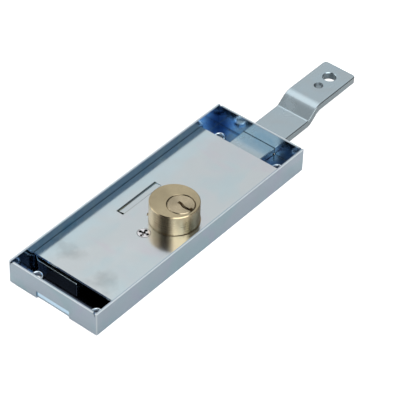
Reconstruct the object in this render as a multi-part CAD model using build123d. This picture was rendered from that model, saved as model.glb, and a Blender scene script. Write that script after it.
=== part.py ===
import math
import os
from build123d import *

# All sizes in millimetres. X runs across the case, Y along it towards the eye, Z out of its open face.
# The origin is the centre of the case's flat back.

# Case
case_width = 55.0
case_length = 155.0
case_depth = 13.5
sheet = 1.2
fold_inner_radius = 0.3
fold_outer_radius = 0.6
wall_edge_radius = 0.8
corner_slit = 0.2
corner_slit_bottom = 11.5
end_wall_corner_radius = 1.6
window_side_gap = 0.3
near_window_height = 4.7
far_window_height = 5.6
cut_margin = 1.0

# Screw collars in the floor
collar_side_distance = 7.55
collar_end_distance = 8.55
collar_radius = 3.2
collar_top = 2.7
collar_bore_radius = 2.1
collar_edge_radius = 0.5

# Cover plate
pocket_length = 14.6
cover_side_gap = 0.2
cover_underside = 7.3
cylinder_hole_radius = 12.75
cylinder_hole_shift = 0.2
hole_notch_angle = 207.5
hole_notch_width = 2.0
hole_notch_depth = 0.9

# Lanced strip of the cover
strip_x = -12.0
strip_width = 4.3
strip_length = 28.6
strip_slit = 0.15
strip_near_slit = 1.2
strip_drop = 0.8
strip_crease_width = 0.3
strip_crease_depth = 0.15

# Cylinder body
cylinder_wall_distance = 18.0
cylinder_radius = 12.5
cylinder_relief = 0.25
cylinder_relief_over_cover = 0.1
cylinder_top = 20.0
cylinder_underside = 5.5
cylinder_edge = 0.4
flange_radius = 15.0
ear_radius = 4.5

# Cover screw and the pillar under it
screw_from_cylinder = 4.3
screw_y = -17.4
screw_head_radius = 3.4
screw_shank_radius = 1.78
screw_end = 1.9
screw_tip_room = 0.3
screw_seat_gap = 0.05
thread_gap = 0.02
cross_wing_width = 1.1
cross_wing_length = 4.8
cross_depth = 1.2
cross_angle = 10.0
pillar_radius = 3.0
pillar_neck_radius = 2.0

# Plug
plug_shift = 4.0
plug_head_radius = 6.9
plug_head_height = 1.7
plug_shank_radius = 6.3
plug_gap = 0.05
plug_edge = 0.45
plug_seat_edge = 0.3
keyway_width = 1.5
keyway_bottom = 7.1
keyway_points = [(-2.1, 0.55), (-0.5, 0.5), (2.0, -0.55), (4.3, -0.45), (8.0, 0.3)]
keyway_mouth_width = 1.9
keyway_mouth_length = 2.6
keyway_mouth_offset = 0.45
tail_radius = 2.1
tail_flat = 1.5
tail_gap = 0.02
pivot_radius = 1.5
pivot_end = 0.1

# Ring that keeps the plug in the body
clip_groove_radius = 5.6
clip_outer_radius = 8.4
clip_thickness = 0.7
clip_bottom = 5.9
clip_opening = 7.0
clip_play = 0.2
groove_play = 0.05

# Pins and springs, counted from the plug's face
pin_count = 4
first_pin_depth = 3.2
pin_pitch = 2.65
pin_radius = 1.2
pin_gap = 0.05
pin_face_gap = 0.02
pin_edge = 0.35
pin_tip_edge = 0.7
key_pin_lengths = [4.6, 6.0, 5.2, 6.4]
chamber_past_axis = 1.0
driver_length = 3.4
driver_edge = 0.2
spring_wire_radius = 0.13
spring_radius = 0.95
spring_turns = 4.5
cap_length = 1.95
cap_inset = 0.05
cap_gap = 0.01

# Gears: same module and pressure angle for the pinion, the idler and the rack
gear_module = 0.8
pressure_angle = 25.0
addendum_factor = 0.8
dedendum_factor = 1.05
flank_thinning = 0.04
flank_steps = 5
pinion_teeth = 10
idler_teeth = 11
gear_bottom = 1.3
pinion_top = 5.4
idler_top = 5.1
idler_stud_top = 5.35
running_gap = 0.05

# Lock bar
bar_thickness = 4.0
bar_lift = 0.05
bar_width = 20.0
bar_reach = 67.3
bar_step_from_case = 26.8
bar_step_length = 7.0
bar_step_height = 5.55
lower_bend_radius = 1.6
upper_bend_radius = 6.0
bar_tip_radius = 2.0
bar_edge = 0.3
tail_left_gap = 0.55
tail_past_cover = 0.6
tail_toe = 1.0
tail_toe_length = 12.0
tail_right_end_y = 22.0
tail_corner_x = 2.4
tail_corner_y = 1.6
tail_inner_radius = 3.0
tail_end_radius = 0.6
tail_top_radius = 0.5
eye_from_tip = 9.8
eye_radius = 3.5
eye_edge = 0.3
dimple_from_eye = 9.4
dimple_radius = 2.5
dimple_floor_radius = 1.5
dimple_depth = 0.9
rack_spare_spaces = 1

# Guide stud in the slot of the tail
guide_web = 3.7
guide_radius = 2.0
guide_gap = 0.1
stop_gap = 0.05
guide_collar_radius = 3.75
guide_collar_height = 1.0
guide_neck_radius = 1.6

# Posts
cover_post_radius = 2.5
cover_post_side_distance = 6.3
cover_post_end_distance = 11.7
far_post_end_distance = 3.6
cover_post_tail_gap = 2.5
cylinder_post_radius = 2.2
cylinder_post_ring = 13.1
cylinder_post_angles = [-35, 35, 105]
post_neck_radius = 1.6
neck_gap = 0.02

# Places and sizes that follow from the values above
half_width = case_width / 2
half_length = case_length / 2
inner_half_width = half_width - sheet
inner_half_length = half_length - sheet
collar_x = inner_half_width - collar_side_distance
collar_y = inner_half_length - collar_end_distance
cover_top = cover_underside + sheet
cover_half_width = inner_half_width - cover_side_gap
cover_half_length = inner_half_length - pocket_length
window_width = bar_width + 2 * window_side_gap
cylinder_x = inner_half_width - cylinder_wall_distance
screw_x = cylinder_x - screw_from_cylinder
plug_x = cylinder_x + plug_shift
plug_head_bottom = cylinder_top - plug_head_height
shear_x = plug_x - plug_shank_radius
body_left_x = cylinder_x - cylinder_radius
relief_radius = cylinder_radius - cylinder_relief
relief_top = cover_top + cylinder_relief_over_cover
pin_heights = [cylinder_top - first_pin_depth - index * pin_pitch for index in range(pin_count)]
pinion_pitch_radius = gear_module * pinion_teeth / 2
idler_pitch_radius = gear_module * idler_teeth / 2
idler_x = plug_x - pinion_pitch_radius - idler_pitch_radius
rack_pitch_x = idler_x - idler_pitch_radius
rack_tip_x = rack_pitch_x + addendum_factor * gear_module
rack_root_x = rack_pitch_x - dedendum_factor * gear_module
rack_pitch = math.pi * gear_module
bar_travel = 2 * math.pi * pinion_pitch_radius
bar_bottom = sheet + bar_lift
bar_top = bar_bottom + bar_thickness
tail_left_x = -inner_half_width + tail_left_gap
bar_tip_y = half_length + bar_reach
bar_step_start_y = half_length + bar_step_from_case
bar_step_end_y = bar_step_start_y + bar_step_length
eye_y = bar_tip_y - eye_from_tip
dimple_y = eye_y - dimple_from_eye
screw_cone_height = screw_head_radius - screw_shank_radius
screw_hole_radius = screw_shank_radius + screw_seat_gap
cover_post_x = inner_half_width - cover_post_side_distance
cover_post_y = cover_half_length - cover_post_end_distance
far_post_y = cover_half_length - far_post_end_distance
cover_post_places = [(cover_post_x, -cover_post_y), (cover_post_x, cover_post_y), (-cover_post_x, far_post_y)]
tail_near_y = -cover_half_length - tail_past_cover
tail_toe_x = rack_tip_x + tail_toe
tail_toe_end_y = tail_near_y + tail_toe_length
tail_left_end_y = far_post_y - cover_post_radius - cover_post_tail_gap - bar_travel
bar_start_y = max(tail_left_end_y, tail_right_end_y) + tail_inner_radius
guide_x = (tail_left_x + rack_tip_x) / 2
guide_y = tail_near_y + guide_web + guide_radius + guide_gap + stop_gap + bar_travel
cylinder_post_places = []
for angle in cylinder_post_angles:
    reach_x = cylinder_post_ring * math.cos(math.radians(angle))
    reach_y = cylinder_post_ring * math.sin(math.radians(angle))
    cylinder_post_places.append((cylinder_x + reach_x, reach_y))

os.makedirs("parts", exist_ok=True)


def post(radius, bottom, top, x=0.0, y=0.0):
    """Upright round solid between two heights."""
    return Pos(x, y, bottom) * Cylinder(radius, top - bottom, align=(Align.CENTER, Align.CENTER, Align.MIN))


def block(x_low, x_high, y_low, y_high, z_low, z_high):
    """Box between two corners."""
    corner = (Align.MIN, Align.MIN, Align.MIN)
    return Pos(x_low, y_low, z_low) * Box(x_high - x_low, y_high - y_low, z_high - z_low, align=corner)


def cross_rod(radius, x_low, x_high, z):
    """Round solid along X at one height, on the cylinder's centre line."""
    rod = Cylinder(radius, x_high - x_low, align=(Align.CENTER, Align.CENTER, Align.MIN))
    return Pos(x_low, 0, z) * Rot(0, 90, 0) * rod


def cone(x, y, top, top_radius, end_radius):
    """Countersink with 45 degree sides, widest at its top."""
    height = top_radius - end_radius
    shape = Cone(end_radius, top_radius, height, align=(Align.CENTER, Align.CENTER, Align.MAX))
    return Pos(x, y, top) * shape


def involute_point(base_radius, roll, start_angle, side):
    """Point of an involute flank, mirrored for the tooth's other side."""
    radius = base_radius * math.sqrt(1 + roll * roll)
    angle = start_angle - (roll - math.atan(roll))
    return (radius * math.cos(angle), side * radius * math.sin(angle))


def gear_sketch(teeth, first_angle):
    """Involute gear outline with one tooth centred on first_angle, in degrees."""
    pitch_radius = gear_module * teeth / 2
    base_radius = pitch_radius * math.cos(math.radians(pressure_angle))
    tip_radius = pitch_radius + addendum_factor * gear_module
    root_radius = pitch_radius - dedendum_factor * gear_module
    pressure_roll = math.tan(math.radians(pressure_angle))
    half_tooth = (rack_pitch / 4 - flank_thinning) / pitch_radius
    base_half = half_tooth + pressure_roll - math.radians(pressure_angle)
    tip_roll = math.sqrt((tip_radius / base_radius) ** 2 - 1)
    rolls = [tip_roll * step / flank_steps for step in range(flank_steps + 1)]
    upper = [involute_point(base_radius, roll, base_half, 1) for roll in rolls]
    lower = [involute_point(base_radius, roll, base_half, -1) for roll in rolls]
    root_upper = (root_radius * math.cos(base_half), root_radius * math.sin(base_half))
    root_lower = (root_upper[0], -root_upper[1])
    outline = Line(root_lower, lower[0])
    outline += Spline(*lower)
    outline += ThreePointArc(lower[-1], (tip_radius, 0), upper[-1])
    outline += Spline(*reversed(upper))
    outline += Line(upper[0], root_upper)
    outline += Line(root_upper, (0, 0))
    outline += Line((0, 0), root_lower)
    tooth = make_face(outline)
    shape = Sketch() + Circle(root_radius)
    for index in range(teeth):
        shape += Rot(0, 0, first_angle + 360 * index / teeth) * tooth
    return shape


# Case: folded tray with a window in each end wall and slits where the walls meet
case = block(-half_width, half_width, -half_length, half_length, 0, case_depth)
case = fillet(case.edges().filter_by(Axis.Z), wall_edge_radius)
case = fillet(case.faces().sort_by(Axis.Z)[0].edges(), fold_outer_radius)
hollow_top = case_depth + cut_margin
hollow = block(-inner_half_width, inner_half_width, -inner_half_length, inner_half_length, sheet, hollow_top)
hollow = fillet(hollow.faces().sort_by(Axis.Z)[0].edges(), fold_inner_radius)
case -= hollow
for side in (-1, 1):
    for end in (-1, 1):
        slit_x = sorted((side * inner_half_width, side * (inner_half_width - corner_slit)))
        slit_y = sorted((end * (inner_half_length - sheet), end * (half_length + cut_margin)))
        case -= block(*slit_x, *slit_y, corner_slit_bottom, hollow_top)
slit_middle_x = inner_half_width - corner_slit / 2
wall_corners = case.edges().filter_by(Axis.Y).group_by(Axis.Z)[-1]
wall_corners = wall_corners.filter_by_position(Axis.X, -slit_middle_x, slit_middle_x)
case = fillet(wall_corners, end_wall_corner_radius)
for end, window_height in ((-1, near_window_height), (1, far_window_height)):
    window_y = sorted((end * inner_half_length, end * (half_length + cut_margin)))
    case -= block(-window_width / 2, window_width / 2, *window_y, -cut_margin, window_height)
    ridge_y = sorted((end * (inner_half_length - fold_inner_radius), end * half_length))
    case -= block(-window_width / 2, window_width / 2, *ridge_y, sheet, window_height)
collar = post(collar_radius, sheet / 2, collar_top) - post(collar_bore_radius, 0, case_depth)
collar = fillet(collar.edges().group_by(Axis.Z)[-1], collar_edge_radius)
for side in (-1, 1):
    for end in (-1, 1):
        case -= post(collar_bore_radius, -cut_margin, case_depth, side * collar_x, end * collar_y)
        case += Pos(side * collar_x, end * collar_y, 0) * collar
for place in cover_post_places + cylinder_post_places:
    case -= post(post_neck_radius + neck_gap, -cut_margin, case_depth, *place)
case -= post(guide_neck_radius + neck_gap, -cut_margin, case_depth, guide_x, guide_y)
case -= post(pillar_neck_radius + neck_gap, -cut_margin, case_depth, screw_x, screw_y)
case -= post(pivot_radius + neck_gap, -cut_margin, case_depth, idler_x)
case -= post(pivot_radius + running_gap, -cut_margin, case_depth, plug_x)
export_step(case, "parts/case.step")

# Cover plate: flat sheet with the cylinder hole, its notch, the screw hole and the lanced strip
cover = block(
    -cover_half_width, cover_half_width, -cover_half_length, cover_half_length, cover_underside, cover_top
)
hole_x = cylinder_x + cylinder_hole_shift
cover -= post(cylinder_hole_radius, 0, case_depth, hole_x)
notch_reach = cylinder_hole_radius + hole_notch_depth
notch = block(0, notch_reach, -hole_notch_width / 2, hole_notch_width / 2, 0, case_depth)
cover -= Pos(hole_x, 0, 0) * Rot(0, 0, hole_notch_angle) * notch
cover -= cone(screw_x, screw_y, cover_top, screw_head_radius + screw_seat_gap, screw_hole_radius)
strip_left_x = strip_x - strip_width
strip_half_length = strip_length / 2
cover -= block(strip_left_x, strip_x, -strip_half_length, strip_half_length, 0, case_depth)
strip_tip_x = strip_left_x + strip_slit
strip_corners = [
    (strip_x, cover_underside),
    (strip_x, cover_top),
    (strip_tip_x, cover_top - strip_drop),
    (strip_tip_x, cover_underside - strip_drop),
]
strip_face = make_face(Polyline(*strip_corners, close=True))
strip_far_y = strip_half_length - strip_slit
strip_near_y = -strip_half_length + strip_near_slit
cover += Pos(0, strip_far_y, 0) * extrude(Plane.XZ * strip_face, amount=strip_far_y - strip_near_y)
crease_half = strip_crease_width / 2
crease_bottom = cover_top - strip_crease_depth
cover -= block(
    strip_x - crease_half, strip_x + crease_half, strip_near_y, strip_far_y, crease_bottom, case_depth
)
export_step(cover, "parts/cover_plate.step")

# Cylinder body: round nose, flange under the cover and an ear held by the cover screw
body = post(cylinder_radius, relief_top, cylinder_top, cylinder_x)
body = chamfer(body.edges().filter_by(GeomType.CIRCLE).sort_by(Axis.Z)[-1], cylinder_edge)
body += post(relief_radius, cylinder_underside, relief_top, cylinder_x)
flange_circle = Pos(cylinder_x, 0) * Circle(flange_radius)
ear_circle = Pos(screw_x, screw_y) * Circle(ear_radius)
flange_outline = make_hull(flange_circle.edges() + ear_circle.edges())
body += Pos(0, 0, cylinder_underside) * extrude(flange_outline, amount=cover_underside - cylinder_underside)
body -= post(plug_shank_radius + plug_gap, 0, cylinder_top + cut_margin, plug_x)
seat_radius = plug_head_radius + plug_gap
body -= post(seat_radius, plug_head_bottom - plug_gap, cylinder_top + cut_margin, plug_x)
body -= cone(plug_x, 0, cylinder_top, seat_radius + plug_seat_edge, seat_radius)
clip_room_top = clip_bottom + clip_thickness + clip_play
body -= post(clip_outer_radius + clip_play, 0, clip_room_top, plug_x)
body -= cone(screw_x, screw_y, cover_top, screw_head_radius + screw_seat_gap, screw_hole_radius)
body -= post(screw_hole_radius, 0, cover_top, screw_x, screw_y)
for height in pin_heights:
    body -= cross_rod(pin_radius + pin_gap, body_left_x - cut_margin, plug_x, height)
export_step(body, "parts/cylinder_body.step")

# Plug: stepped round core with the keyway, pin chambers, clip groove and driving tail
plug = post(plug_head_radius, plug_head_bottom, cylinder_top, plug_x)
plug = chamfer(plug.edges().filter_by(GeomType.CIRCLE).sort_by(Axis.Z)[-1], plug_edge)
plug += post(plug_shank_radius, cylinder_underside, plug_head_bottom, plug_x)
keyway = trace(Polyline(*keyway_points), keyway_width)
keyway += Pos(plug_shank_radius, keyway_mouth_offset) * Rectangle(keyway_mouth_length, keyway_mouth_width)
plug -= Pos(plug_x, 0, keyway_bottom) * extrude(keyway, amount=cylinder_top)
for height in pin_heights:
    plug -= cross_rod(pin_radius + pin_gap, shear_x - cut_margin, plug_x + chamber_past_axis, height)
groove_top = clip_bottom + clip_thickness + groove_play
groove = post(plug_head_radius, clip_bottom - groove_play, groove_top, plug_x)
plug -= groove - post(clip_groove_radius, 0, cylinder_top, plug_x)
tail = post(tail_radius, sheet, cylinder_underside, plug_x)
tail &= block(plug_x - tail_flat, plug_x + tail_flat, -tail_radius, tail_radius, 0, cylinder_top)
plug += tail
plug += post(pivot_radius, pivot_end, sheet, plug_x)
export_step(plug, "parts/plug.step")

# Clip: open ring in the plug's groove
clip = post(clip_outer_radius, clip_bottom, clip_bottom + clip_thickness, plug_x)
clip -= post(clip_groove_radius + plug_gap, 0, cylinder_top, plug_x)
clip -= block(plug_x, plug_x + 2 * clip_outer_radius, -clip_opening / 2, clip_opening / 2, 0, cylinder_top)
export_step(clip, "parts/plug_clip.step")

# Pins, springs and caps, one chamber after the other
caps = []
driver_face_x = shear_x - pin_face_gap
driver_back_x = driver_face_x - driver_length
key_pin_face_x = shear_x + pin_face_gap
cap_inner_x = body_left_x + cap_length
cap_limit = post(relief_radius - cap_inset, cylinder_underside, relief_top, cylinder_x)
cap_limit += post(cylinder_radius - cap_inset, relief_top, cylinder_top, cylinder_x)
for index, height in enumerate(pin_heights):
    number = index + 1
    key_pin = cross_rod(pin_radius, key_pin_face_x, key_pin_face_x + key_pin_lengths[index], height)
    pin_ends = key_pin.edges().filter_by(GeomType.CIRCLE).sort_by(Axis.X)
    key_pin = chamfer(pin_ends[0], pin_edge)
    key_pin = chamfer(key_pin.edges().filter_by(GeomType.CIRCLE).sort_by(Axis.X)[-1], pin_tip_edge)
    export_step(key_pin, f"parts/key_pin_{number}.step")
    driver = cross_rod(pin_radius, driver_back_x, driver_face_x, height)
    driver = chamfer(driver.edges().filter_by(GeomType.CIRCLE), driver_edge)
    export_step(driver, f"parts/driver_pin_{number}.step")
    spring_length = driver_back_x - cap_inner_x - 2 * spring_wire_radius
    coil = Helix(spring_length / spring_turns, spring_length, spring_radius)
    wire = sweep(Plane(coil @ 0, z_dir=coil % 0) * Circle(spring_wire_radius), path=coil)
    spring = Pos(cap_inner_x + spring_wire_radius, 0, height) * Rot(0, 90, 0) * wire
    export_step(spring, f"parts/pin_spring_{number}.step")
    cap = cross_rod(pin_radius + pin_gap - cap_gap, body_left_x - cut_margin, cap_inner_x, height)
    caps += (cap & cap_limit).solids()
export_step(Compound(children=caps), "parts/chamber_caps.step")

# Drive pinion on the plug's tail, one tooth towards the idler
pinion = extrude(gear_sketch(pinion_teeth, 180), amount=pinion_top - gear_bottom)
pinion = Pos(plug_x, 0, gear_bottom) * pinion
tail_hole = post(tail_radius + tail_gap, 0, cylinder_top, plug_x)
hole_half = tail_flat + tail_gap
hole_reach = 2 * tail_radius
tail_hole &= block(plug_x - hole_half, plug_x + hole_half, -hole_reach, hole_reach, 0, cylinder_top)
pinion -= tail_hole
export_step(pinion, "parts/drive_pinion.step")

# Idler gear, one space towards the pinion
idler = extrude(gear_sketch(idler_teeth, 180 / idler_teeth), amount=idler_top - gear_bottom)
idler = Pos(idler_x, 0, gear_bottom) * idler
idler -= post(pivot_radius + running_gap, 0, cylinder_top, idler_x)
export_step(idler, "parts/idler_gear.step")
idler_stud = post(pivot_radius, 0, idler_stud_top, idler_x)
export_step(idler_stud, "parts/idler_stud.step")

# Lock bar: wide tail with the rack and slot, then the narrow bar with its step and eye
tail_outline = Polyline(
    (tail_left_x + tail_corner_x, tail_near_y),
    (tail_toe_x, tail_near_y),
    (tail_toe_x, tail_toe_end_y),
    (rack_tip_x, tail_toe_end_y),
    (rack_tip_x, tail_right_end_y),
    (bar_width / 2, tail_right_end_y),
    (bar_width / 2, bar_start_y),
    (-bar_width / 2, bar_start_y),
    (-bar_width / 2, tail_left_end_y),
    (tail_left_x, tail_left_end_y),
    (tail_left_x, tail_near_y + tail_corner_y),
    close=True,
)
tail_face = make_face(tail_outline)
inner_corners = [
    tail_face.vertices().sort_by_distance((rack_tip_x, tail_right_end_y, 0))[0],
    tail_face.vertices().sort_by_distance((-bar_width / 2, tail_left_end_y, 0))[0],
]
tail_face = fillet(inner_corners, tail_inner_radius)
toe_corner = tail_face.vertices().sort_by_distance((tail_toe_x, tail_near_y, 0))[0]
tail_face = fillet(toe_corner, tail_end_radius)
bar = Pos(0, 0, bar_bottom) * extrude(tail_face, amount=bar_thickness)
near_edges = bar.edges().group_by(Axis.Z)[-1]
near_edges = near_edges.filter_by_position(Axis.Y, tail_near_y - tail_corner_y, tail_near_y + tail_corner_y)
bar = fillet(near_edges, tail_top_radius)
step_angle = math.atan2(bar_step_height, bar_step_end_y - bar_step_start_y)
bend_shift = bar_thickness * math.tan(step_angle / 2)
profile = Polyline(
    (bar_start_y, bar_top),
    (bar_step_start_y, bar_top),
    (bar_step_end_y, bar_top + bar_step_height),
    (bar_tip_y, bar_top + bar_step_height),
    (bar_tip_y, bar_bottom + bar_step_height),
    (bar_step_end_y + bend_shift, bar_bottom + bar_step_height),
    (bar_step_start_y + bend_shift, bar_bottom),
    (bar_start_y, bar_bottom),
    close=True,
)
profile_face = make_face(profile)
upper_bottom = bar_bottom + bar_step_height
upper_top = bar_top + bar_step_height
bends = [
    (bar_step_start_y, bar_top, lower_bend_radius),
    (bar_step_start_y + bend_shift, bar_bottom, lower_bend_radius + bar_thickness),
    (bar_step_end_y, upper_top, upper_bend_radius + bar_thickness),
    (bar_step_end_y + bend_shift, upper_bottom, upper_bend_radius),
]
for along, height, radius in bends:
    corner = profile_face.vertices().sort_by_distance((along, height, 0))[0]
    profile_face = fillet(corner, radius)
stepped = extrude(Plane.YZ * profile_face, amount=bar_width / 2, both=True)
tip_edges = stepped.edges().filter_by(Axis.Z).sort_by(Axis.Y)[-2:]
stepped = fillet(tip_edges, bar_tip_radius)
long_edges = stepped.edges().filter_by(Axis.X, reverse=True).filter_by(Axis.Z, reverse=True)
front_edges = stepped.faces().sort_by(Axis.Y)[-1].edges().filter_by(Axis.X)
stepped = chamfer(long_edges + front_edges, bar_edge)
bar += stepped
bar -= post(eye_radius, 0, upper_top + cut_margin, 0, eye_y)
bar -= cone(0, eye_y, upper_top, eye_radius + eye_edge, eye_radius - eye_edge)
bar -= Pos(0, dimple_y, upper_top) * Cone(
    dimple_floor_radius, dimple_radius, dimple_depth, align=(Align.CENTER, Align.CENTER, Align.MAX)
)
slot_high_y = guide_y + stop_gap
slot_low_y = guide_y - bar_travel - stop_gap
slot_radius = guide_radius + guide_gap
slot = SlotCenterToCenter(slot_high_y - slot_low_y, 2 * slot_radius)
slot = Pos(guide_x, (slot_low_y + slot_high_y) / 2) * Rot(0, 0, 90) * slot
bar -= extrude(slot, amount=case_depth)
space_half = rack_pitch / 4 + flank_thinning
flank = math.tan(math.radians(pressure_angle))
mouth_x = rack_tip_x + gear_module
mouth_half = space_half + (mouth_x - rack_pitch_x) * flank
floor_half = space_half - (rack_pitch_x - rack_root_x) * flank
rack_space = make_face(
    Polyline(
        (rack_root_x, -floor_half),
        (mouth_x, -mouth_half),
        (mouth_x, mouth_half),
        (rack_root_x, floor_half),
        close=True,
    )
)
spaces = Sketch()
rack_shift = rack_pitch / 2 * ((idler_teeth + 1) % 2)
for index in range(-pinion_teeth - rack_spare_spaces, rack_spare_spaces + 1):
    spaces += Pos(0, index * rack_pitch + rack_shift) * rack_space
bar -= extrude(spaces, amount=case_depth)
export_step(bar, "parts/lock_bar.step")

# Guide stud: neck in the floor, shank in the slot, collar over the bar and post under the cover
collar_bottom = bar_top + 2 * bar_lift
guide = post(guide_neck_radius, 0, sheet, guide_x, guide_y)
guide += post(guide_radius, sheet, collar_bottom, guide_x, guide_y)
guide += post(guide_collar_radius, collar_bottom, collar_bottom + guide_collar_height, guide_x, guide_y)
guide += post(cover_post_radius, collar_bottom + guide_collar_height, cover_underside, guide_x, guide_y)
export_step(guide, "parts/guide_stud.step")

# Screw pillar: riveted neck, round pillar and blind tapped hole
pillar = post(pillar_neck_radius, 0, sheet, screw_x, screw_y)
pillar += post(pillar_radius, sheet, cylinder_underside, screw_x, screw_y)
tapped_bottom = screw_end - screw_tip_room
pillar -= post(screw_shank_radius + thread_gap, tapped_bottom, cover_top, screw_x, screw_y)
export_step(pillar, "parts/screw_pillar.step")

# Cover screw: flush head with a cross recess
screw = cone(screw_x, screw_y, cover_top, screw_head_radius, screw_shank_radius)
screw += post(screw_shank_radius, screw_end, cover_top - screw_cone_height, screw_x, screw_y)
wing = Box(cross_wing_length, cross_wing_width, cross_depth, align=(Align.CENTER, Align.CENTER, Align.MAX))
for turn in (cross_angle, cross_angle + 90):
    screw -= Pos(screw_x, screw_y, cover_top) * Rot(0, 0, turn) * wing
export_step(screw, "parts/cover_screw.step")

# Posts that carry the cover plate
cover_posts = []
for place in cover_post_places:
    one = post(post_neck_radius, 0, sheet, *place)
    one += post(cover_post_radius, sheet, cover_underside, *place)
    cover_posts += one.solids()
export_step(Compound(children=cover_posts), "parts/cover_posts.step")

# Posts that carry the cylinder's flange
cylinder_posts = []
for place in cylinder_post_places:
    one = post(post_neck_radius, 0, sheet, *place)
    one += post(cylinder_post_radius, sheet, cylinder_underside, *place)
    cylinder_posts += one.solids()
export_step(Compound(children=cylinder_posts), "parts/cylinder_posts.step")
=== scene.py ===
import math

import bmesh
import bpy
from mathutils import Matrix, Vector


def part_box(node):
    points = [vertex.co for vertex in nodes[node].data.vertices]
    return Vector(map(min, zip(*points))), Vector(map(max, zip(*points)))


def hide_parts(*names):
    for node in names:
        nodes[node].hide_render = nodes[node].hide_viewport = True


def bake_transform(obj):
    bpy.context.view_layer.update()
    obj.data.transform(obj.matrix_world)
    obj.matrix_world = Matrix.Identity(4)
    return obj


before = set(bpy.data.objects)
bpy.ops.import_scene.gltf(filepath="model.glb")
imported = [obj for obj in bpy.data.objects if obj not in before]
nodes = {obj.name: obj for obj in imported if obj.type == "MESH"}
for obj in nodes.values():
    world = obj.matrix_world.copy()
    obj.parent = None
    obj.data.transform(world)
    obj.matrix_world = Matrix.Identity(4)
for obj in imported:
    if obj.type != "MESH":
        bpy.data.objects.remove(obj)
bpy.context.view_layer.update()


# Case. A tray of 1.2 mm steel sheet, folded up on four sides and then zinc plated.
# Inside the tray the zinc is bluer and lighter. Painted shade darkens its floor, its left wall, its corners
# and its far right end, the floor by the near window is left light, and painted highlights lighten the collar
# tops, the outer half of the rim and the outer upright corners.
def place_node(tree, kind, column, row, **values):
    node = tree.nodes.new(kind)
    node.location = (column * 220, -row * 180)
    for name, value in values.items():
        setattr(node, name, value)
    return node


def feed(tree, socket, value):
    """Link a socket to another node, or set its number, vector or colour."""
    if isinstance(value, bpy.types.NodeSocket):
        tree.links.new(value, socket)
    elif isinstance(value, tuple) and socket.type == "RGBA":
        socket.default_value = (*value, 1)
    else:
        socket.default_value = value


def math_node(tree, operation, column, row, *values):
    node = place_node(tree, "ShaderNodeMath", column, row, operation=operation)
    for socket, value in zip(node.inputs, values):
        feed(tree, socket, value)
    return node.outputs[0]


def vector_node(tree, operation, column, row, *values):
    node = place_node(tree, "ShaderNodeVectorMath", column, row, operation=operation)
    for socket, value in zip(node.inputs, values):
        feed(tree, socket, value)
    return node.outputs["Value" if operation in ("LENGTH", "DISTANCE", "DOT_PRODUCT") else "Vector"]


def noise_node(tree, column, row, position, scale, detail):
    node = place_node(tree, "ShaderNodeTexNoise", column, row)
    feed(tree, node.inputs["Vector"], position)
    feed(tree, node.inputs["Scale"], scale)
    feed(tree, node.inputs["Detail"], detail)
    return node


def step_node(tree, column, row, value, start, end, smooth=True):
    """0 up to the start and 1 from the end on."""
    node = place_node(
        tree, "ShaderNodeMapRange", column, row, interpolation_type="SMOOTHSTEP" if smooth else "LINEAR"
    )
    feed(tree, node.inputs["Value"], value)
    feed(tree, node.inputs["From Min"], start)
    feed(tree, node.inputs["From Max"], end)
    return node.outputs[0]


def blend_colours(tree, column, row, factor, first, second, blend_type="MIX"):
    node = place_node(tree, "ShaderNodeMix", column, row, data_type="RGBA", blend_type=blend_type)
    for index, value in ((0, factor), (6, first), (7, second)):
        feed(tree, node.inputs[index], value)
    return node.outputs[2]


def new_group(name, inputs, outputs):
    tree = bpy.data.node_groups.new(name, "ShaderNodeTree")
    for label, kind, value in inputs:
        socket = tree.interface.new_socket(name=label, in_out="INPUT", socket_type="NodeSocket" + kind)
        socket.default_value = value
    for label, kind in outputs:
        tree.interface.new_socket(name=label, in_out="OUTPUT", socket_type="NodeSocket" + kind)
    return tree, place_node(tree, "NodeGroupInput", -1, 0), place_node(tree, "NodeGroupOutput", 8, 0)


def rolled_sheet_group():
    """Fine lines along Y left by the rolling mill, over long shallow waves of the sheet."""
    inputs = (("Position", "Vector", (0, 0, 0)), ("Lines", "Float", 1.0), ("Waves", "Float", 1.0))
    tree, given, result = new_group("Rolled sheet", inputs, (("Height", "Float"),))
    across = vector_node(tree, "MULTIPLY", 0, 0, given.outputs["Position"], (2600, 60, 2600))
    lines = noise_node(tree, 1, 0, across, 1.0, 3.0)
    waves = noise_node(tree, 1, 2, given.outputs["Position"], 55.0, 1.0)
    line_height = math_node(tree, "MULTIPLY", 2, 0, lines.outputs[0], given.outputs["Lines"])
    wave_height = math_node(tree, "MULTIPLY", 2, 2, waves.outputs[0], given.outputs["Waves"])
    height = math_node(tree, "ADD", 3, 1, line_height, wave_height)
    tree.links.new(height, result.inputs["Height"])
    return tree


def passivation_group():
    """Cloudy tints of a thin passivation layer, from a bluish to a warmer zinc."""
    inputs = (
        ("Position", "Vector", (0, 0, 0)),
        ("Base", "Color", (0.5, 0.5, 0.5, 1)),
        ("Cool", "Color", (0.4, 0.5, 0.5, 1)),
        ("Warm", "Color", (0.5, 0.5, 0.5, 1)),
        ("Scale", "Float", 60.0),
        ("Amount", "Float", 0.5),
    )
    tree, given, result = new_group("Passivation clouds", inputs, (("Color", "Color"),))
    clouds = []
    for row, (stretch, low, high) in enumerate((((1, 0.6, 1), 0.45, 0.7), ((0.8, 1.3, 1), 0.5, 0.72))):
        scaled = vector_node(tree, "MULTIPLY", 0, 2 * row, given.outputs["Position"], stretch)
        moved = vector_node(tree, "ADD", 1, 2 * row, scaled, (0.31 * row, 0.17 * row, 0))
        noise = noise_node(tree, 2, 2 * row, moved, given.outputs["Scale"], 4.0)
        noise.inputs["Roughness"].default_value = 0.55
        noise.inputs["Distortion"].default_value = 0.6
        spread = step_node(tree, 3, 2 * row, noise.outputs[0], low, high)
        clouds.append(math_node(tree, "MULTIPLY", 4, 2 * row, spread, given.outputs["Amount"]))
    cooled = blend_colours(tree, 5, 0, clouds[0], given.outputs["Base"], given.outputs["Cool"])
    tinted = blend_colours(tree, 6, 1, clouds[1], cooled, given.outputs["Warm"])
    tree.links.new(tinted, result.inputs["Color"])
    return tree


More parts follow.
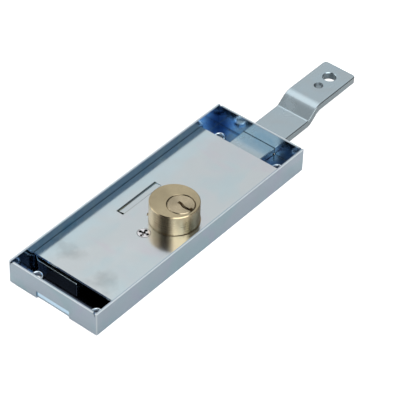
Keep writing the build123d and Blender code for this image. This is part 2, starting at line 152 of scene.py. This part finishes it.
def handling_group():
    """Smudges, pits and short scratches that years of handling leave on plated metal."""
    inputs = (("Position", "Vector", (0, 0, 0)), ("Smudges", "Float", 0.5), ("Scratches", "Float", 0.5))
    tree, given, result = new_group("Handling marks", inputs, (("Mask", "Float"), ("Height", "Float")))
    smudge = noise_node(tree, 1, 0, given.outputs["Position"], 95.0, 5.0)
    smudged = step_node(tree, 2, 0, smudge.outputs[0], 0.5, 0.75)
    slanted = place_node(tree, "ShaderNodeMapping", 0, 2)
    slanted.inputs["Rotation"].default_value = (0.2, 0.1, 0.6)
    slanted.inputs["Scale"].default_value = (1500, 90, 1500)
    tree.links.new(given.outputs["Position"], slanted.inputs["Vector"])
    scratch = noise_node(tree, 1, 2, slanted.outputs[0], 1.0, 1.0)
    scratched = step_node(tree, 2, 2, scratch.outputs[0], 0.7, 0.76, smooth=False)
    smudges = math_node(tree, "MULTIPLY", 3, 0, smudged, given.outputs["Smudges"])
    scratches = math_node(tree, "MULTIPLY", 3, 2, scratched, given.outputs["Scratches"])
    both = math_node(tree, "MAXIMUM", 4, 1, smudges, scratches)
    tree.links.new(both, result.inputs["Mask"])
    tree.links.new(scratches, result.inputs["Height"])
    return tree


rolled_sheet = rolled_sheet_group()
passivation = passivation_group()
handling = handling_group()


def use_group(tree, group, column, row, position, **values):
    node = place_node(tree, "ShaderNodeGroup", column, row, node_tree=group)
    for name, value in {"Position": position, **values}.items():
        feed(tree, node.inputs[name], value)
    return node


def start_metal(name):
    """Empty metal material, with its tree, its shader and the piece's own position."""
    material = bpy.data.materials.new(name)
    material.use_nodes = True
    tree = material.node_tree
    shader = tree.nodes["Principled BSDF"]
    shader.location = (2000, 0)
    tree.nodes["Material Output"].location = (2400, 0)
    shader.inputs["Metallic"].default_value = 1.0
    position = place_node(tree, "ShaderNodeTexCoord", -3, 0).outputs["Object"]
    return material, tree, shader, position


def add_bump(tree, shader, height, depth):
    bump = place_node(tree, "ShaderNodeBump", 8, 3)
    bump.inputs["Distance"].default_value = depth
    tree.links.new(height, bump.inputs["Height"])
    tree.links.new(bump.outputs[0], shader.inputs["Normal"])


def inverse(tree, column, row, mask):
    return math_node(tree, "SUBTRACT", column, row, 1.0, mask)


def below(tree, column, row, value, limit, softness):
    """1 where a coordinate's size is under the limit, 0 beyond it, with a short soft step."""
    size = math_node(tree, "ABSOLUTE", column, row, value)
    outside = step_node(tree, column + 1, row, size, limit - softness, limit + softness)
    return inverse(tree, column + 2, row, outside)


def above(tree, column, row, value, limit, softness):
    """0 under a height and 1 over it, with a short soft step."""
    return step_node(tree, column, row, value, limit - softness, limit + softness)


def distance_from(tree, column, row, position, centre, stretch=(1, 1, 0)):
    """Distance from a point, seen from above unless another stretch of the axes is given."""
    offset = vector_node(tree, "SUBTRACT", column, row, position, centre)
    stretched = vector_node(tree, "MULTIPLY", column + 1, row, offset, stretch)
    return vector_node(tree, "LENGTH", column + 2, row, stretched)


def give_material(names, material):
    for name in names:
        nodes[name].data.materials.clear()
        nodes[name].data.materials.append(material)


case_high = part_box("case")[1]
sheet_thickness = 0.0012
inner_x = case_high.x - sheet_thickness
inner_y = case_high.y - sheet_thickness
collar_x = inner_x - 0.00755
collar_y = inner_y - 0.00855
collar_top = 0.0027
collar_reach = 0.0046
window_floor_y = case_high.y - 0.0042
wall_foot = 0.0019
corner_shade_reach = 0.0075
corner_shade_softness = 0.0055
near_floor_y = 0.056
right_end_shade_x = 0.013
right_end_shade_y = 0.060
bend_highlight_reach = 0.0005
case_zinc, tree, shader, position = start_metal("case_zinc")
split = place_node(tree, "ShaderNodeSeparateXYZ", -2, 2)
tree.links.new(position, split.inputs[0])
across, along, height = split.outputs
towards_front = math_node(tree, "MULTIPLY", -2, 7, along, -1.0)
folded_position = vector_node(tree, "ABSOLUTE", -1, 8, position)
inside_x = below(tree, -1, 1, across, case_high.x - sheet_thickness / 2, 0.0002)
inside_y = below(tree, -1, 2, along, case_high.y - sheet_thickness / 2, 0.0002)
inside_plan = math_node(tree, "MULTIPLY", 1, 1, inside_x, inside_y)
over_floor = above(tree, -1, 3, height, sheet_thickness / 2, 0.0002)
top_face = above(tree, -1, 4, height, case_high.z - 0.0001, 0.00008)
between = math_node(tree, "SUBTRACT", 1, 3, over_floor, top_face)
inside = math_node(tree, "MULTIPLY", 2, 1, inside_plan, between)
rim = math_node(tree, "MULTIPLY", 2, 4, top_face, inverse(tree, 1, 4, inside_plan))
low = inverse(tree, 0, 6, above(tree, -1, 6, height, wall_foot, 0.0003))
by_window = above(tree, -1, 7, towards_front, window_floor_y, 0.0002)
lit_sill = math_node(tree, "MULTIPLY", 3, 7, low, by_window)
on_floor = math_node(tree, "MULTIPLY", 2, 6, low, inverse(tree, 1, 7, by_window))
near_part = above(tree, 1, 11, towards_front, near_floor_y, 0.004)
on_left_wall = inverse(tree, 2, 10, above(tree, 1, 10, across, 0.0002 - inner_x, 0.0001))
corner_distance = distance_from(tree, 0, 9, folded_position, (inner_x, inner_y, 0))
in_corner = below(tree, 3, 9, corner_distance, corner_shade_reach, corner_shade_softness)
collar_distance = distance_from(tree, 0, 8, folded_position, (collar_x, collar_y, 0), (1, 1, 1))
near_collar = below(tree, 3, 8, collar_distance, collar_reach, 0.0001)
collar_height = above(tree, 2, 14, height, collar_top - 0.0006, 0.0002)
on_collar = math_node(tree, "MULTIPLY", 6, 8, near_collar, collar_height)
right_side = above(tree, 2, 12, across, right_end_shade_x, 0.002)
far_end = above(tree, 2, 13, along, right_end_shade_y, 0.002)
right_end = math_node(tree, "MULTIPLY", 3, 12, right_side, far_end)
bend_distance = distance_from(tree, 0, 15, folded_position, (case_high.x, case_high.y, 0))
bend_highlight = below(tree, 3, 15, bend_distance, bend_highlight_reach, 0.00015)
edge_highlights = math_node(tree, "MAXIMUM", 6, 15, rim, bend_highlight)
outer_tints = use_group(
    tree, passivation, 2, 0, position, Scale=60.0, Amount=0.8,
    Base=(0.395, 0.46, 0.52), Cool=(0.34, 0.455, 0.50), Warm=(0.41, 0.43, 0.525),
)
inner_tints = use_group(
    tree, passivation, 2, 2, position, Scale=110.0, Amount=0.7,
    Base=(0.67, 0.86, 0.99), Cool=(0.52, 0.77, 0.96), Warm=(0.60, 0.72, 0.87),
)
# Painted shade: the left inner wall is darker than the other inner walls.
left_wall_shade_tints = use_group(
    tree, passivation, 2, 3, position, Scale=140.0, Amount=0.9,
    Base=(0.275, 0.41, 0.57), Cool=(0.16, 0.345, 0.52), Warm=(0.35, 0.475, 0.55),
)
# Painted shade: the floor inside the tray is painted dark blue, and dark grey at the near end.
floor_shade_tints = use_group(
    tree, passivation, 2, 4, position, Scale=130.0, Amount=0.9,
    Base=(0.16, 0.24, 0.33), Cool=(0.08, 0.20, 0.36), Warm=(0.07, 0.08, 0.17),
)
floor_shade_colour = blend_colours(tree, 3, 4, near_part, floor_shade_tints.outputs["Color"], (0.12, 0.145, 0.20))
inner = blend_colours(tree, 3, 2, on_left_wall, inner_tints.outputs["Color"], left_wall_shade_tints.outputs["Color"])
# Painted light: the floor by the near window stays light, while the rest of the floor carries painted shade.
with_lit_sill = blend_colours(tree, 4, 3, lit_sill, inner, (0.50, 0.66, 0.79))
with_floor_shade = blend_colours(tree, 4, 2, on_floor, with_lit_sill, floor_shade_colour)
# Painted shade: the floor and walls at the far right end of the tray are darker.
right_end_shade = blend_colours(tree, 4, 12, right_end, (1.0, 1.0, 1.0), (0.35, 0.37, 0.42))
# Painted shade: the walls and floor near the four inner corners are darker.
shade = blend_colours(tree, 5, 9, in_corner, right_end_shade, (0.37, 0.44, 0.55))
shaded = blend_colours(tree, 5, 2, 1.0, with_floor_shade, shade, "MULTIPLY")
# Painted highlight: the collar tops are lighter than the shaded floor round them.
with_collar_highlights = blend_colours(tree, 6, 2, on_collar, shaded, (0.56, 0.63, 0.69))
walls = blend_colours(tree, 7, 1, inside, outer_tints.outputs["Color"], with_collar_highlights)
# Painted highlight: the outer half of the rim and the outer upright corners are lighter.
with_edge_highlights = blend_colours(tree, 8, 1, edge_highlights, walls, (0.55, 0.61, 0.645))
marks = use_group(tree, handling, 2, 4, position, Smudges=0.6, Scratches=0.35)
smudged = math_node(tree, "MULTIPLY_ADD", 4, 4, marks.outputs["Mask"], 0.10, 0.18)
polish = math_node(tree, "MULTIPLY_ADD", 3, 5, low, -0.05, -0.04)
polished = math_node(tree, "MULTIPLY_ADD", 4, 5, inside, polish, smudged)
rough_rim = math_node(tree, "MULTIPLY_ADD", 5, 4, rim, 0.18, polished)
sheet = use_group(tree, rolled_sheet, 2, 6, position, Lines=0.35, Waves=1.0)
tree.links.new(with_edge_highlights, shader.inputs["Base Color"])
tree.links.new(rough_rim, shader.inputs["Roughness"])
add_bump(tree, shader, sheet.outputs["Height"], 0.00005)
give_material(["case"], case_zinc)


# Cover plate. Flat zinc plated sheet laid over the mechanism, brighter and smoother than the case.
# It has faint pink and green clouds, a greener left side and two darker smears towards its near end.
green_side_x = -0.010
green_side_softness = 0.010
cover_zinc, tree, shader, position = start_metal("cover_zinc")
tints = use_group(
    tree, passivation, 1, 0, position, Scale=42.0, Amount=0.75,
    Base=(0.515, 0.56, 0.58), Cool=(0.45, 0.555, 0.595), Warm=(0.525, 0.52, 0.565),
)
edge_noise = noise_node(tree, 0, 2, position, 150.0, 4.0)
wavered = vector_node(tree, "MULTIPLY_ADD", 1, 2, edge_noise.outputs["Color"], (0.016, 0.016, 0), position)
smears = []
for row, (centre, stretch, reach) in enumerate((
    ((-0.0065, -0.0425, 0), (1, 1.5, 0), 0.0105),
    ((0.019, -0.0475, 0), (1, 1, 0), 0.0085),
)):
    smear_distance = distance_from(tree, 2, 2 + row, wavered, centre, stretch)
    smears.append(below(tree, 5, 2 + row, smear_distance, reach * 0.6, reach * 0.6))
smear = math_node(tree, "MAXIMUM", 8, 2, smears[0], smears[1])
wavered_split = place_node(tree, "ShaderNodeSeparateXYZ", 2, 4)
tree.links.new(wavered, wavered_split.inputs[0])
right_part = above(tree, 3, 4, wavered_split.outputs[0], green_side_x, green_side_softness)
sided = blend_colours(tree, 5, 4, right_part, (0.485, 0.60, 0.65), tints.outputs["Color"])
smeared = blend_colours(tree, 8, 1, smear, sided, (0.80, 0.80, 0.795), "MULTIPLY")
marks = use_group(tree, handling, 1, 5, position, Smudges=0.7, Scratches=0.4)
sheet = use_group(tree, rolled_sheet, 1, 7, position, Lines=0.25, Waves=1.0)
worn = math_node(tree, "MULTIPLY_ADD", 3, 5, marks.outputs["Mask"], 0.08, 0.16)
tree.links.new(smeared, shader.inputs["Base Color"])
tree.links.new(worn, shader.inputs["Roughness"])
add_bump(tree, shader, sheet.outputs["Height"], 0.00004)
give_material(["cover_plate"], cover_zinc)


# Lock bar. Punched and bent 4 mm steel strip with a satin zinc coat, duller than the sheet. Painted shade
# darkens the punched eye, the walls of the pressed dimple, the cut end that slides in the case and the
# rounded top edges.
bar_low, bar_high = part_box("lock_bar")
eye_y = bar_high.y - 0.0098
eye_radius = 0.0036
dimple_y = eye_y - 0.0094
dimple_radius = 0.0025
dimple_floor_radius = 0.0014
tail_top = 0.0048
edge_width = 0.0004
cut_face_depth = 0.00025
cut_edge_depth = 0.0012
bar_zinc, tree, shader, position = start_metal("bar_zinc")
tints = use_group(
    tree, passivation, 1, 0, position, Scale=60.0, Amount=0.5,
    Base=(0.365, 0.44, 0.48), Cool=(0.34, 0.44, 0.50), Warm=(0.37, 0.41, 0.435),
)
split = place_node(tree, "ShaderNodeSeparateXYZ", -2, 6)
tree.links.new(position, split.inputs[0])
across, along, height = split.outputs
eye_distance = distance_from(tree, -2, 7, position, (0, eye_y, 0))
dimple_distance = distance_from(tree, -2, 8, position, (0, dimple_y, 0))
in_eye = below(tree, 1, 7, eye_distance, eye_radius, 0.0001)
in_dimple = below(tree, 1, 8, dimple_distance, dimple_radius, 0.0001)
on_dimple_floor = below(tree, 1, 9, dimple_distance, dimple_floor_radius, 0.0003)
# Painted shade in the punched eye and on the walls of the pressed dimple.
dimple_wall = math_node(tree, "MULTIPLY_ADD", 4, 8, on_dimple_floor, -0.6, in_dimple)
hollow_shade = math_node(tree, "MAXIMUM", 5, 8, math_node(tree, "MULTIPLY", 4, 7, in_eye, 0.45), dimple_wall)
# Painted shade on the cut end of the tail: its end face and the sides just behind it, below the top.
off_end = above(tree, 4, 10, along, bar_low.y + cut_face_depth, 0.0001)
off_corner = above(tree, 3, 12, along, bar_low.y + cut_edge_depth, 0.0001)
on_top = above(tree, 3, 13, height, tail_top, 0.00015)
off_both = math_node(tree, "MULTIPLY", 5, 12, off_end, math_node(tree, "MAXIMUM", 4, 12, off_corner, on_top))
end_face_shade = math_node(tree, "MULTIPLY_ADD", 6, 10, off_both, -0.9, 0.9)
painted_bar_shade = math_node(tree, "MAXIMUM", 7, 9, math_node(tree, "MULTIPLY", 6, 8, hollow_shade, 0.72), end_face_shade)
on_faces = below(tree, 1, 11, across, bar_high.x - 0.0003, 0.0001)
# Painted shade along the rounded top edges, which dims their highlight.
off_edge = below(tree, 1, 14, across, bar_high.x - edge_width, 0.0001)
on_side = inverse(tree, 4, 15, below(tree, 1, 15, across, bar_high.x - 0.00003, 0.00002))
on_edge = inverse(tree, 6, 14, math_node(tree, "MAXIMUM", 5, 14, off_edge, on_side))
with_edge_shade = math_node(tree, "MAXIMUM", 8, 14, painted_bar_shade, math_node(tree, "MULTIPLY", 7, 14, on_edge, 0.6))
side_tone = blend_colours(tree, 4, 11, on_faces, (0.82, 0.80, 0.78), (1.0, 1.0, 1.0))
sheared = blend_colours(tree, 5, 2, 1.0, tints.outputs["Color"], side_tone, "MULTIPLY")
bar_colour = blend_colours(tree, 8, 2, with_edge_shade, sheared, (0.008, 0.009, 0.013))
marks = use_group(tree, handling, 1, 2, position, Smudges=0.7, Scratches=0.6)
sheet = use_group(tree, rolled_sheet, 1, 4, position, Lines=0.3, Waves=0.6)
worn = math_node(tree, "MULTIPLY_ADD", 3, 2, marks.outputs["Mask"], 0.10, 0.22)
rough = math_node(tree, "MULTIPLY_ADD", 4, 4, in_dimple, 0.3, worn)
tree.links.new(bar_colour, shader.inputs["Base Color"])
tree.links.new(rough, shader.inputs["Roughness"])
add_bump(tree, shader, sheet.outputs["Height"], 0.00004)
give_material(["lock_bar"], bar_zinc)


# Cylinder body. Brass turned on a lathe, satin nickel plated, with fine rings on its face
# and round its side.
def turned_group():
    """Lathe rings round an upright axis: on faces by radius, on sides by height."""
    inputs = (("Position", "Vector", (0, 0, 0)), ("Centre X", "Float", 0.0), ("Rings", "Float", 9000.0))
    tree, given, result = new_group("Turned metal", inputs, (("Height", "Float"), ("Tone", "Float")))
    split = place_node(tree, "ShaderNodeSeparateXYZ", 0, 0)
    tree.links.new(given.outputs["Position"], split.inputs[0])
    offset = place_node(tree, "ShaderNodeCombineXYZ", 2, 0)
    from_axis = math_node(tree, "SUBTRACT", 1, 0, split.outputs[0], given.outputs["Centre X"])
    tree.links.new(from_axis, offset.inputs[0])
    tree.links.new(split.outputs[1], offset.inputs[1])
    radius = vector_node(tree, "LENGTH", 3, 0, offset.outputs[0])
    ring_place = math_node(tree, "ADD", 4, 0, radius, split.outputs[2])
    scaled = math_node(tree, "MULTIPLY", 5, 0, ring_place, given.outputs["Rings"])
    rings = place_node(tree, "ShaderNodeTexNoise", 6, 0, noise_dimensions="1D")
    rings.inputs["Scale"].default_value = 1.0
    rings.inputs["Detail"].default_value = 3.0
    tree.links.new(scaled, rings.inputs["W"])
    tone = noise_node(tree, 6, 2, given.outputs["Position"], 260.0, 5.0)
    tree.links.new(rings.outputs[0], result.inputs["Height"])
    tree.links.new(tone.outputs[0], result.inputs["Tone"])
    return tree


turned = turned_group()
plug_low, plug_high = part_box("plug")
plug_x = (plug_low.x + plug_high.x) / 2
seam_radius = 0.00695
seam_width = 0.00022


def turned_material(name, centre_x, top_z, dark, light, side, roughness):
    """Metal whose lathe rings spread a reflection across them, with painted shade in the seam round the plug.
    """
    material, tree, shader, position = start_metal(name)
    lathe = use_group(tree, turned, 1, 0, position, **{"Centre X": centre_x})
    marks = use_group(tree, handling, 1, 2, position, Smudges=0.5, Scratches=0.4)
    split = place_node(tree, "ShaderNodeSeparateXYZ", -1, 5)
    tree.links.new(position, split.inputs[0])
    across, along, height = split.outputs
    on_face = above(tree, 1, 5, height, top_z - 0.0003, 0.0001)
    # Painted shade in the seam round the plug.
    plug_distance = distance_from(tree, 0, 9, position, (plug_x, 0, 0))
    seam_offset = math_node(tree, "SUBTRACT", 3, 9, plug_distance, seam_radius)
    in_seam = below(tree, 3, 10, seam_offset, seam_width, 0.00008)
    crevice_shade = math_node(tree, "MULTIPLY", 6, 9, in_seam, on_face)
    face_colour = blend_colours(tree, 3, 0, lathe.outputs["Tone"], dark, light)
    clean = blend_colours(tree, 4, 0, on_face, side, face_colour)
    colour = blend_colours(tree, 5, 0, crevice_shade, clean, (0.03, 0.024, 0.015))
    worn = math_node(tree, "MULTIPLY_ADD", 3, 2, marks.outputs["Mask"], 0.10, roughness)
    grained = math_node(tree, "MULTIPLY_ADD", 4, 2, lathe.outputs["Height"], 0.08, worn)
    smoother_face = math_node(tree, "MULTIPLY_ADD", 5, 2, on_face, -0.10, grained)
    ring_way = place_node(tree, "ShaderNodeCombineXYZ", 2, 6)
    tree.links.new(math_node(tree, "MULTIPLY", 1, 6, along, -1.0), ring_way.inputs[0])
    tree.links.new(math_node(tree, "SUBTRACT", 1, 7, across, centre_x), ring_way.inputs[1])
    turned_way = place_node(
        tree, "ShaderNodeVectorTransform", 3, 6,
        vector_type="VECTOR", convert_from="OBJECT", convert_to="WORLD",
    )
    tree.links.new(ring_way.outputs[0], turned_way.inputs[0])
    tree.links.new(vector_node(tree, "NORMALIZE", 4, 6, turned_way.outputs[0]), shader.inputs["Tangent"])
    shader.inputs["Anisotropic"].default_value = 0.95
    shader.inputs["Anisotropic Rotation"].default_value = 0.25
    tree.links.new(colour, shader.inputs["Base Color"])
    tree.links.new(smoother_face, shader.inputs["Roughness"])
    add_bump(tree, shader, lathe.outputs["Height"], 0.000012)
    return material


body_low, body_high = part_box("cylinder_body")
cylinder_x = (body_low.x + body_high.x) / 2
body_brass = turned_material(
    "body_brass", cylinder_x, body_high.z,
    dark=(0.32, 0.27, 0.175), light=(0.42, 0.36, 0.235), side=(0.54, 0.43, 0.275), roughness=0.24,
)
give_material(["cylinder_body", "chamber_caps"], body_brass)


# Plug and pins. The turned brass core that sits off centre in the cylinder, a little paler on its face,
# and the small brass pins in its chambers.
plug_brass = turned_material(
    "plug_brass", plug_x, plug_high.z,
    dark=(0.32, 0.27, 0.18), light=(0.43, 0.37, 0.26), side=(0.40, 0.33, 0.22), roughness=0.32,
)
pin_names = [f"{kind}_pin_{number}" for kind in ("key", "driver") for number in range(1, 5)]
give_material(["plug"] + pin_names, plug_brass)


# Cover screw. Countersunk cross-head screw, bright zinc plated. Painted shade darkens the four wing ends of
# its recess and the ring round its head, and the middle of the recess keeps the head's colour.
screw_low, screw_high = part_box("cover_screw")
screw_centre = ((screw_low.x + screw_high.x) / 2, (screw_low.y + screw_high.y) / 2, 0)
screw_face_radius = 0.0031
wing_reach = 0.0020
wing_radius = 0.00085
recess_turn = math.radians(-10)
screw_zinc, tree, shader, position = start_metal("screw_zinc")
from_axis = vector_node(tree, "SUBTRACT", -1, 2, position, screw_centre)
screw_plan = vector_node(tree, "MULTIPLY", 0, 2, from_axis, (1, 1, 0))
screw_distance = vector_node(tree, "LENGTH", 1, 2, screw_plan)
# Painted shade on the ring round the head.
off_rim = below(tree, 2, 4, screw_distance, screw_face_radius, 0.00012)
square_on = place_node(tree, "ShaderNodeVectorRotate", 1, 5, rotation_type="Z_AXIS")
square_on.inputs["Angle"].default_value = recess_turn
tree.links.new(screw_plan, square_on.inputs["Vector"])
one_quarter = vector_node(tree, "ABSOLUTE", 2, 5, square_on.outputs[0])
# Painted shade at the four wing ends of the recess.
wing_ends = []
for row, wing_end in ((6, (wing_reach, 0, 0)), (7, (0, wing_reach, 0))):
    wing_distance = vector_node(tree, "DISTANCE", 3, row, one_quarter, wing_end)
    wing_ends.append(below(tree, 4, row, wing_distance, wing_radius, 0.0002))
crevice_shade = math_node(tree, "MAXIMUM", 7, 6, wing_ends[0], wing_ends[1])
marks = use_group(tree, handling, 0, 3, position, Smudges=0.5, Scratches=0.6)
face = blend_colours(tree, 5, 3, off_rim, (0.20, 0.21, 0.22), (0.66, 0.66, 0.68))
colour = blend_colours(tree, 8, 0, crevice_shade, face, (0.025, 0.024, 0.026))
worn = math_node(tree, "MULTIPLY_ADD", 2, 3, marks.outputs["Mask"], 0.12, 0.2)
tree.links.new(colour, shader.inputs["Base Color"])
tree.links.new(worn, shader.inputs["Roughness"])
add_bump(tree, shader, marks.outputs["Height"], 0.00002)
give_material(["cover_screw"], screw_zinc)


# Gears, studs, posts and clip. Turned and milled steel parts under the cover, lightly oiled.
def oiled_steel(name, dark, light, roughness):
    material, tree, shader, position = start_metal(name)
    marks = use_group(tree, handling, 1, 0, position, Smudges=0.8, Scratches=0.5)
    colour = blend_colours(tree, 3, 0, marks.outputs["Mask"], light, dark)
    worn = math_node(tree, "MULTIPLY_ADD", 3, 2, marks.outputs["Mask"], 0.12, roughness)
    tree.links.new(colour, shader.inputs["Base Color"])
    tree.links.new(worn, shader.inputs["Roughness"])
    add_bump(tree, shader, marks.outputs["Height"], 0.00001)
    return material


turned_steel = oiled_steel("turned_steel", (0.30, 0.30, 0.31), (0.50, 0.51, 0.53), 0.25)
give_material([
    "plug_clip", "drive_pinion", "idler_gear", "idler_stud", "guide_stud", "screw_pillar", "cover_posts",
    "cylinder_posts",
], turned_steel)


# Pin springs. Fine steel wire wound into a coil with closer turns at its ends, one behind each driver pin.
# In the real lock one end stays against the chamber's cap and the other follows the pin; this coil keeps the
# length of the imported spring.
def coil_spring(name, low, high, wire_radius, turns):
    """Round wire swept along a helix whose first and last turns lie nearly flat."""
    around, steps, end_flatness = 8, 28, 0.8
    coil_radius = (high.y - low.y) / 2 - wire_radius
    start_x = low.x + wire_radius
    length = high.x - low.x - 2 * wire_radius
    centre_z = (low.z + high.z) / 2
    count = round(steps * turns)
    line = []
    for index in range(count + 1):
        share = index / count
        climb = share - math.sin(2 * math.pi * share) / (2 * math.pi) * end_flatness
        angle = 2 * math.pi * turns * share
        line.append(Vector((
            start_x + length * climb, coil_radius * math.cos(angle), centre_z + coil_radius * math.sin(angle),
        )))
    form = bmesh.new()
    rings = []
    for index, point in enumerate(line):
        heading = (line[min(index + 1, count)] - line[max(index - 1, 0)]).normalized()
        outward = Vector((0, point.y, point.z - centre_z)).normalized()
        sideways = heading.cross(outward).normalized()
        outward = sideways.cross(heading)
        rings.append([
            form.verts.new(point + wire_radius * (outward * math.cos(turn) + sideways * math.sin(turn)))
            for turn in (2 * math.pi * step / around for step in range(around))
        ])
    for ring, following in zip(rings, rings[1:]):
        for step in range(around):
            after = (step + 1) % around
            form.faces.new((ring[step], ring[after], following[after], following[step]))
    form.faces.new(reversed(rings[0]))
    form.faces.new(rings[-1])
    bmesh.ops.recalc_face_normals(form, faces=form.faces)
    mesh = bpy.data.meshes.new(name)
    form.to_mesh(mesh)
    form.free()
    mesh.shade_smooth()
    spring = bpy.data.objects.new(name, mesh)
    bpy.context.scene.collection.objects.link(spring)
    return spring


spring_steel = oiled_steel("spring_steel", (0.20, 0.20, 0.21), (0.42, 0.43, 0.45), 0.2)
for number in range(1, 5):
    low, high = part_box(f"pin_spring_{number}")
    spring = coil_spring(f"coil_spring_{number}", low, high, wire_radius=0.00013, turns=4.5)
    spring.data.materials.append(spring_steel)
    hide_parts(f"pin_spring_{number}")
    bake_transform(spring)


# Table, camera, room and lamp. A white table, the camera at the photograph's angle, a white room with dark
# and bright cards that the metal mirrors, and one large soft lamp over the part.
table_mesh = bpy.data.meshes.new("table")
form = bmesh.new()
bmesh.ops.create_grid(form, x_segments=2, y_segments=2, size=4.0)
form.to_mesh(table_mesh)
form.free()
table = bpy.data.objects.new("table", table_mesh)
bpy.context.scene.collection.objects.link(table)
table.location.z = -0.0001
table_white = bpy.data.materials.new("table_white")
table_white.use_nodes = True
tree = table_white.node_tree
shader = tree.nodes["Principled BSDF"]
shader.inputs["Base Color"].default_value = (0.66, 0.66, 0.66, 1)
shader.inputs["Roughness"].default_value = 0.9
shader.inputs["Specular IOR Level"].default_value = 0.0
shader.inputs["Emission Color"].default_value = (1, 1, 1, 1)
path = place_node(tree, "ShaderNodeLightPath", -3, 0)
seen = math_node(tree, "MULTIPLY", -2, 0, path.outputs["Is Camera Ray"], 0.62)
mirrored = math_node(tree, "MULTIPLY_ADD", -1, 0, path.outputs["Is Glossy Ray"], 0.02, seen)
through = math_node(tree, "MULTIPLY_ADD", 0, 0, path.outputs["Is Transmission Ray"], 0.12, mirrored)
tree.links.new(through, shader.inputs["Emission Strength"])
table_mesh.materials.append(table_white)

camera_azimuth = math.radians(38.299)
camera_elevation = math.radians(41.748)
camera_roll = math.radians(1.996)
camera_distance = 1.01094
camera_target = Vector((0.007375, 0.020642, 0.006))
focal_length_pixels = 2071.67
image_width_pixels = 400
back = Vector((
    math.sin(camera_azimuth) * math.cos(camera_elevation),
    -math.cos(camera_azimuth) * math.cos(camera_elevation),
    math.sin(camera_elevation),
))
level_right = Vector((math.cos(camera_azimuth), math.sin(camera_azimuth), 0))
level_up = back.cross(level_right)
right = level_right * math.cos(camera_roll) + level_up * math.sin(camera_roll)
up = level_up * math.cos(camera_roll) - level_right * math.sin(camera_roll)
camera_data = bpy.data.cameras.new("camera")
camera_data.sensor_width = 36.0
camera_data.lens = focal_length_pixels / image_width_pixels * camera_data.sensor_width
camera_data.clip_start = 0.05
camera_data.clip_end = 20.0
camera = bpy.data.objects.new("camera", camera_data)
bpy.context.scene.collection.objects.link(camera)
turn = Matrix((right, up, back)).transposed()
camera.matrix_world = Matrix.Translation(camera_target + back * camera_distance) @ turn.to_4x4()
bpy.context.scene.camera = camera

world = bpy.data.worlds.new("white_room")
bpy.context.scene.world = world
world.use_nodes = True
tree = world.node_tree
backdrop = tree.nodes["Background"]
backdrop.location = (2000, 0)
direction = place_node(tree, "ShaderNodeTexCoord", -3, 0).outputs["Generated"]
bearing = vector_node(tree, "NORMALIZE", -1, 1, vector_node(tree, "MULTIPLY", -2, 1, direction, (1, 1, 0)))
split = place_node(tree, "ShaderNodeSeparateXYZ", -2, 2)
tree.links.new(direction, split.inputs[0])
room_height = split.outputs[2]


def room_card(row, azimuth, half_width, low, high, soft, level):
    """Factor of an upright card in the room, dark or bright, between two heights. All angles in degrees."""
    azimuth, half_width, low, high, soft = map(math.radians, (azimuth, half_width, low, high, soft))
    facing = vector_node(tree, "DOT_PRODUCT", 0, row, bearing, (math.cos(azimuth), math.sin(azimuth), 0))
    edge, reach = math.cos(half_width), math.sin(soft) * math.sin(half_width)
    in_width = step_node(tree, 1, row, facing, edge - reach, edge + reach)
    reach = math.sin(soft)
    over_low = step_node(tree, 2, row, room_height, math.sin(low) - reach, math.sin(low) + reach)
    under_high = step_node(tree, 3, row, room_height, math.sin(high) + reach, math.sin(high) - reach)
    in_height = math_node(tree, "MULTIPLY", 4, row, over_low, under_high)
    on_card = math_node(tree, "MULTIPLY", 5, row, in_width, in_height)
    return math_node(tree, "MULTIPLY_ADD", 6, row, on_card, level - 1.0, 1.0)


card_light = 1.0
for row, (azimuth, half_width, low, high, soft, level) in enumerate((
    (-93.0, 23.0, 2.0, 80.0, 3.0, 0.01),
    (-142.5, 22.5, 44.0, 78.0, 2.5, 0.55),
    (-141.0, 20.0, 14.0, 35.0, 4.0, 1.8),
    (-22.0, 34.0, 12.0, 64.0, 5.0, 4.0),
    (62.0, 44.0, 4.0, 76.0, 5.0, 0.48),
    (78.0, 18.0, 4.0, 76.0, 4.0, 0.55),
    (180.0, 26.0, 24.0, 46.0, 5.0, 2.2),
    (160.0, 34.0, 48.0, 78.0, 4.0, 1.75),
)):
    card = room_card(row, azimuth, half_width, low, high, soft, level)
    card_light = math_node(tree, "MULTIPLY", 7, row, card_light, card)
path = place_node(tree, "ShaderNodeLightPath", 2, 8)
brightness = place_node(tree, "ShaderNodeMix", 9, 0, data_type="FLOAT")
for index, value in (
    (0, path.outputs["Is Camera Ray"]),
    (2, math_node(tree, "MULTIPLY", 8, 0, card_light, 0.95)),
    (3, 1.0),
):
    feed(tree, brightness.inputs[index], value)
backdrop.inputs["Color"].default_value = (1, 1, 1, 1)
tree.links.new(brightness.outputs[0], backdrop.inputs["Strength"])

lamp_data = bpy.data.lights.new("soft_lamp", "AREA")
lamp_data.shape = "RECTANGLE"
lamp_data.size = 1.5
lamp_data.size_y = 1.3
lamp_data.energy = 2.5
lamp = bpy.data.objects.new("soft_lamp", lamp_data)
bpy.context.scene.collection.objects.link(lamp)
lamp.location = (0.15, -0.05, 1.4)
lamp_target = Vector((0, 0.03, 0))
lamp.rotation_euler = (lamp_target - lamp.location).to_track_quat("-Z", "Y").to_euler()

bpy.context.scene.view_settings.view_transform = "Standard"
